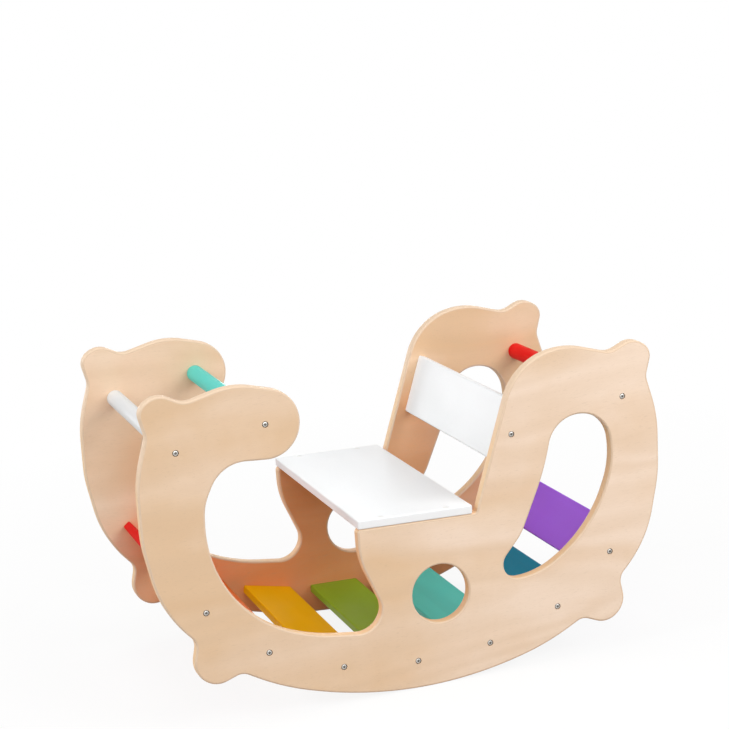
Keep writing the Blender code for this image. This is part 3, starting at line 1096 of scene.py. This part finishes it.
@dataclass
class CrossMember:
    """Board or rod between the side panels, bored at both ends for its screws."""

    fixings: Fixings
    length: float = 2 * (OUTER_FACE - PANEL_THICKNESS - GAP)
    board_edge: float = 2.5 * MM
    rod_radius: float = 13 * MM
    rod_sides: int = 72
    end_edge: float = 0.4 * MM

    def board(self, width: float) -> Piece:
        """Shape a board lying flat along Y.

        Args:
            width: Width of the board along X.

        Returns:
            The board, centred on the origin.
        """
        piece = block_stock((width, self.length, BOARD_THICKNESS))
        round_off(piece, self.board_edge, 6, lambda edge: abs(span(edge).y) > self.length / 2)
        self._end(piece)
        return piece

    def rod(self) -> Piece:
        """Turn a round rod along Y.

        Returns:
            The rod, centred on the origin.
        """
        piece = RoundBar(self.rod_radius, self.length, Axis.Y, self.rod_sides).stock(Vector())
        self._end(piece)
        return piece

    def _end(self, piece: Piece) -> None:
        """Break the sharp edge round both ends, bore them for the screws and shade the piece.

        Args:
            piece: Board or rod.
        """
        end = self.length / 2 - TINY
        round_off(piece, self.end_edge, 2, lambda edge: all(abs(v.co.y) > end for v in edge.verts))
        fix = self.fixings
        depth = fix.member_bore + fix.overrun
        reach = self.length / 2 + fix.overrun - depth / 2
        spots = [Vector((0.0, side.value * reach, 0.0)) for side in Side]
        fix.shank_bit(depth, Axis.Y).bore(piece, spots)
        smooth(piece)


@dataclass
class MemberSet:
    """All slats, rods and the backrest, with their places in the drawing."""

    bench: Bench
    slat_width: float = 80 * MM
    backrest_width: float = 95 * MM
    slats: tuple[tuple[str, float, float, float], ...] = (
        ("red", -312.5, 163.46, -50), ("orange", -224.38, 90.56, -28), ("yellow", -114.06, 50.98, -10),
        ("green", 0.0, 41.5, 0.0), ("teal", 114.06, 50.98, 10), ("blue", 224.38, 90.56, 28),
        ("purple", 312.5, 163.46, 50))
    rods: tuple[tuple[str, float, float], ...] = (
        ("teal", -209.5, 424), ("white", -340, 399), ("red", 340, 399))
    backrest: Place = (160.51, 363.5, 72.1)

    def screw_places(self) -> dict[str, Place]:
        """Gather where the members' screws are.

        Returns:
            X, Z and slope in metres and radians of every member, by node name.
        """
        places = {f"{c}_slat": (x * MM, z * MM, math.radians(s)) for c, x, z, s in self.slats}
        places.update({f"{c}_rod": (x * MM, z * MM, 0.0) for c, x, z in self.rods})
        x, z, slope = self.backrest
        places["backrest_board"] = (x * MM, z * MM, math.radians(slope))
        return places

    def build(self) -> None:
        """Build every member from its pattern piece."""
        member = CrossMember(self.bench.fixings)
        patterns = {
            "slat": member.board(self.slat_width), "rod": member.rod(),
            "board": member.board(self.backrest_width)}
        for node, (x, z, slope) in self.screw_places().items():
            colour, kind = node.rsplit("_", 1)
            piece = copy_of(patterns[kind])
            # The white rod takes the darker copy of the white paint, a painted shade.
            finish = {"backrest_board": "white", "white_rod": "white_rod"}.get(node, colour)
            self.bench.shelf.dress(piece, finish)
            self.bench.mount(piece, node, Matrix.Translation((x, 0.0, z)) @ Matrix.Rotation(-slope, 4, "Y"))
        for piece in patterns.values():
            put_away(piece)


@dataclass
class Seat:
    """Seat board with four recessed screws, each under a dimpled cap."""

    bench: Bench
    front: float = -82 * MM
    back: float = 95 * MM
    corner_radius: float = 3 * MM
    edge_radius: float = 2 * MM
    screw_spacing: float = 100 * MM
    screw_y: float = OUTER_FACE - PANEL_THICKNESS / 2
    cap_sides: int = 40

    @property
    def bottom(self) -> float:
        """Height of the seat's bottom face in the drawing."""
        return SHELF_HEIGHT + GAP

    @property
    def top(self) -> float:
        """Height of the seat's top face in the drawing."""
        return self.bottom + BOARD_THICKNESS

    def screw_xs(self) -> list[float]:
        """X of the front and back pair of screws."""
        middle = (self.front + self.back) / 2
        return [middle - self.screw_spacing / 2, middle + self.screw_spacing / 2]

    def screw_spots(self) -> dict[str, Vector]:
        """Point on the seat's top over every screw, by the end of its node's name."""
        return {
            f"{end}_{side.label}": Vector((x, side.value * self.screw_y, self.top))
            for end, x in zip(("front", "back"), self.screw_xs()) for side in Side}

    def build(self) -> None:
        """Build the seat board and its caps."""
        self._board()
        spots = self.screw_spots().items()
        places = {f"seat_cap_{end}": Matrix.Translation(spot) for end, spot in spots}
        self.bench.set_out(self._cap(), "cap", places)

    def _board(self) -> None:
        """Shape the board, round its corners and edges, and drill it."""
        size = (self.back - self.front, 2 * OUTER_FACE, BOARD_THICKNESS)
        piece = block_stock(size, ((self.front + self.back) / 2, 0.0, self.bottom + BOARD_THICKNESS / 2))
        round_off(piece, self.corner_radius, 6, lambda edge: abs(span(edge).z) > BOARD_THICKNESS / 2)
        round_off(piece, self.edge_radius, 5, self._is_rim)
        fix = self.bench.fixings
        depth = fix.seat_head_depth + fix.head_height + GAP
        spots = list(self.screw_spots().values())
        recesses = [spot + Vector((0, 0, fix.recess_cutter / 2 - depth)) for spot in spots]
        fix.recess_bit(Axis.Z).bore(piece, recesses)
        fix.shank_bit(4 * BOARD_THICKNESS, Axis.Z).bore(piece, spots)
        smooth(piece)
        self.bench.shelf.dress(piece, "white")
        self.bench.mount(piece, "seat_board")

    def _is_rim(self, edge: bmesh.types.BMEdge) -> bool:
        """Whether an edge lies round the top or the bottom face."""
        return any(all(abs(v.co.z - rim) < TINY for v in edge.verts) for rim in (self.bottom, self.top))

    def _cap(self) -> Piece:
        """Mould one cap with a soft rim and a shallow dimple.

        Returns:
            The cap, its top at the origin.
        """
        fix = self.bench.fixings
        height = fix.cap_thickness + fix.cap_dome
        cap = RoundBar(fix.head_radius, height, Axis.Z, self.cap_sides).stock(Vector((0, 0, -height / 2)))
        round_off(cap, fix.cap_dome, 4, lambda edge: all(v.co.z > -TINY for v in edge.verts))
        with editing(cap, Element.FACE, lambda face: face.normal.z > 0.99):
            bpy.ops.mesh.inset(thickness=1.2 * MM, depth=0.0)
            bpy.ops.mesh.inset(thickness=0.7 * MM, depth=-0.25 * MM)
            bpy.ops.mesh.inset(thickness=0.7 * MM, depth=-0.12 * MM)
        smooth(cap, 50)
        self.bench.shelf.dress(cap, "cap")
        return cap


@dataclass
class ScrewSet:
    """Side screws and seat screws: domed head with a hexagonal socket, straight shank and tip."""

    bench: Bench
    members: dict[str, Place]
    seat: Seat
    socket_across_flats: float = 3.5 * MM
    socket_depth: float = 1.4 * MM
    socket_sides: int = 6
    socket_turn: float = 0.7
    screw_sides: int = 36
    tip_length: float = 4 * MM
    # Parts of the socket and the head's rim that get the painted shade.
    dark_socket: float = 0.56
    dark_rim: float = 0.84

    def build(self) -> None:
        """Build every screw, each member's pair with its sockets turned their own way."""
        fix = self.bench.fixings
        places = {}
        for count, (node, (x, z, _)) in enumerate(self.members.items()):
            for side in Side:
                place = Matrix.Translation((x, side.value * (OUTER_FACE - fix.head_sink), z))
                lay = Matrix.Rotation(-side.value * math.pi / 2, 4, "X")
                spin = Matrix.Rotation(self.socket_turn * count, 4, "Z")
                places[f"{node}_screw_{side.label}"] = place @ lay @ spin
        self.bench.set_out(self._screw(fix.side_length), "steel", places)
        sunk = Vector((0, 0, fix.seat_head_depth))
        spots = self.seat.screw_spots().items()
        places = {f"seat_screw_{end}": Matrix.Translation(spot - sunk) for end, spot in spots}
        self.bench.set_out(self._screw(fix.seat_length), "steel", places)

    def _screw(self, length: float) -> Piece:
        """Turn one screw along Z with its head's top at the origin.

        Args:
            length: Length of the shank.

        Returns:
            The screw.
        """
        fix = self.bench.fixings
        end = -fix.head_height - length
        profile = [
            (0.0, 0.0), (fix.head_radius * 0.50, -0.06 * MM), (fix.head_radius * 0.80, -0.38 * MM),
            (fix.head_radius * 0.95, -0.85 * MM), (fix.head_radius, -1.4 * MM),
            (fix.head_radius, -fix.head_height), (fix.shank_radius, -fix.head_height),
            (fix.shank_radius, end + self.tip_length), (fix.shank_radius * 0.45, end + 0.6 * MM),
            (0.0, end)]
        deselect_all()
        bpy.ops.mesh.primitive_plane_add(size=1 * MM)
        piece = bpy.context.object
        with editing(piece, Element.VERT):
            bpy.ops.mesh.select_all(action="SELECT")
            bpy.ops.mesh.merge(type="CENTER")
            for before, after in zip(profile, profile[1:]):
                step = (after[0] - before[0], 0.0, after[1] - before[1])
                bpy.ops.mesh.extrude_vertices_move(TRANSFORM_OT_translate={"value": step})
            bpy.ops.mesh.select_all(action="SELECT")
            bpy.ops.mesh.spin(
                steps=self.screw_sides, angle=2 * math.pi, center=(0, 0, 0), axis=(0, 0, 1))
            bpy.ops.mesh.select_all(action="SELECT")
            bpy.ops.mesh.remove_doubles(threshold=TINY)
            face_outwards()
        radius = self.socket_across_flats / 2 / math.cos(math.pi / self.socket_sides)
        RoundBar(radius, 2 * self.socket_depth, Axis.Z, self.socket_sides).bore(piece, [Vector()])
        self.bench.shelf.dress(piece, "steel", "dark_steel")
        # Painted shade on the socket and the rim of the head.
        finish_faces(piece, 1, self._is_dark)
        smooth(piece, 40)
        return piece

    def _is_dark(self, face: bmesh.types.BMFace) -> bool:
        """Say whether a face gets the painted shade.

        Args:
            face: Face of a screw.

        Returns:
            Whether it lies in the socket or round the rim of the head, where shade is painted.
        """
        middle = face.calc_center_median()
        reach = math.hypot(middle.x, middle.y)
        sunk = -self.socket_depth * 1.01 < middle.z < -0.1 * MM
        in_socket = reach < self.socket_across_flats * self.dark_socket and sunk
        fix = self.bench.fixings
        return in_socket or (reach > fix.head_radius * self.dark_rim and middle.z > -fix.head_height)


# Studio


@dataclass(frozen=True)
class SoftBox:
    """Rectangular studio lamp aimed at a point."""

    name: str
    place: Spot
    aim: Spot
    size: tuple[float, float]
    power: float
    colour: Rgb = (1.0, 1.0, 1.0)

    def build(self) -> None:
        """Hang the lamp, out of the camera's sight."""
        lamp = bpy.data.lights.new(self.name, "AREA")
        lamp.shape = "RECTANGLE"
        lamp.size, lamp.size_y = self.size
        lamp.energy = self.power
        lamp.color = self.colour
        holder = bpy.data.objects.new(self.name, lamp)
        holder.visible_camera = False
        bpy.context.scene.collection.objects.link(holder)
        holder.location = self.place
        holder.rotation_euler = (Vector(self.aim) - Vector(self.place)).to_track_quat("-Z", "Y").to_euler()


@dataclass(frozen=True)
class Studio:
    """White floor and surroundings, lamps and the camera at the photograph's angle."""

    ambient: float = 0.32
    shade: Rgb = (1.0, 0.97, 0.94)
    white: Rgb = (1.0, 1.0, 1.0)
    floor_size: float = 60.0
    floor_bounce: Rgb = (0.44, 0.42, 0.40)
    floor_pale: Rgb = (0.90, 0.90, 0.90)
    floor_white_near: float = 0.88
    floor_fade: tuple[float, float] = (0.7, 1.6)
    camera_place: Spot = (-0.9019, -2.8812, 1.0928)
    camera_right: Spot = (0.94374, -0.31945, -0.08551)
    camera_up: Spot = (0.14641, 0.17176, 0.9742)
    lens: float = 99.99
    sensor: float = 36.0
    sight: float = 200.0
    lamps: tuple[SoftBox, ...] = (
        SoftBox("key", (2.2, -2.5, 2.5), (0.05, 0.0, 0.25), (2.6, 2.6), 92.0),
        SoftBox("front", (-0.7, -3.7, 2.2), (0.0, 0.0, 0.20), (2.4, 2.4), 46.0),
        SoftBox("side", (-3.3, -0.3, 2.0), (0.0, 0.0, 0.25), (2.0, 2.0), 64.0, (0.96, 0.98, 1.0)),
        SoftBox("top", (-0.1, 0.3, 4.4), (0.0, 0.0, 0.2), (2.6, 2.6), 35.5),
        SoftBox("back", (0.2, 3.8, 0.32), (0.0, 0.0, 0.25), (3.4, 0.5), 42.0),
    )

    def build(self) -> None:
        """Set up the whole studio."""
        self._floor()
        self._world()
        for lamp in self.lamps:
            lamp.build()
        self._camera()
        bpy.context.scene.view_settings.view_transform = "Standard"

    def _empty_board(self, owner: bpy.types.Material | bpy.types.World) -> NodeBoard:
        """Clear the nodes that a material or a world starts with.

        Args:
            owner: New material or world.

        Returns:
            Its empty board.
        """
        owner.use_nodes = True
        owner.node_tree.nodes.clear()
        return NodeBoard(owner.node_tree)

    def _seen(self, board: NodeBoard) -> Signal:
        """Whether a ray shows a surface directly, in a reflection or through glass.

        Args:
            board: Board to lay the test out on.

        Returns:
            1 where it does and 0 elsewhere.
        """
        path = board.add("ShaderNodeLightPath")
        seen = board.maths("MAXIMUM", path["Is Camera Ray"], path["Is Glossy Ray"])
        return board.maths("MAXIMUM", seen, path["Is Transmission Ray"])

    def _floor(self) -> None:
        """Lay a pale floor that shows white to the camera and keeps a soft shadow."""
        deselect_all()
        bpy.ops.mesh.primitive_plane_add(size=self.floor_size, location=(0, 0, 0))
        floor = bpy.context.object
        floor.name = "floor"
        material = bpy.data.materials.new("studio_floor")
        board = self._empty_board(material)
        away = board.add("ShaderNodeVectorMath", {0: board.place()}, operation="LENGTH")["Value"]
        bounce = board.add("ShaderNodeBsdfDiffuse", {"Color": rgba(self.floor_bounce)})
        pale = board.add("ShaderNodeBsdfDiffuse", {"Color": rgba(self.floor_pale)})
        white = board.add("ShaderNodeEmission", {"Color": rgba(self.white), "Strength": 1.0})
        look = board.shaders(away.ramp(*self.floor_fade, self.floor_white_near, 1.0), pale, white)
        shown = board.shaders(self._seen(board), bounce, look)
        board.add("ShaderNodeOutputMaterial", {"Surface": shown[0]}, is_active_output=True)
        floor.data.materials.append(material)

    def _world(self) -> None:
        """Surround the chair with even light that is plain white where it is seen."""
        world = bpy.data.worlds.new("studio")
        bpy.context.scene.world = world
        board = self._empty_board(world)
        soft = board.add("ShaderNodeBackground", {"Color": rgba(self.shade), "Strength": self.ambient})
        white = board.add("ShaderNodeBackground", {"Color": rgba(self.white), "Strength": 1.0})
        board.add("ShaderNodeOutputWorld", {"Surface": board.shaders(self._seen(board), soft, white)[0]})

    def _camera(self) -> None:
        """Place the camera as fitted to the photograph, without shift or depth of field."""
        lens = bpy.data.cameras.new("camera")
        lens.lens = self.lens
        lens.sensor_width = self.sensor
        lens.clip_end = self.sight
        camera = bpy.data.objects.new("camera", lens)
        bpy.context.scene.collection.objects.link(camera)
        right = Vector(self.camera_right).normalized()
        back = right.cross(Vector(self.camera_up)).normalized()
        turn = Matrix((right, back.cross(right), back)).transposed().to_4x4()
        camera.matrix_world = Matrix.Translation(self.camera_place) @ turn
        bpy.context.scene.camera = camera


def main() -> None:
    """Build the chair's pieces and the studio, and report them."""
    logging.basicConfig(level=logging.INFO, format="%(message)s")
    bench = Bench(FinishShelf.stock(), RestPose().matrix(), Fixings())
    members = MemberSet(bench)
    seat = Seat(bench)
    places = members.screw_places()
    SidePanel(bench, list(places.values()), seat.screw_xs()).build()
    members.build()
    seat.build()
    ScrewSet(bench, places, seat).build()
    Studio().build()


if __name__ == "__main__":
    main()
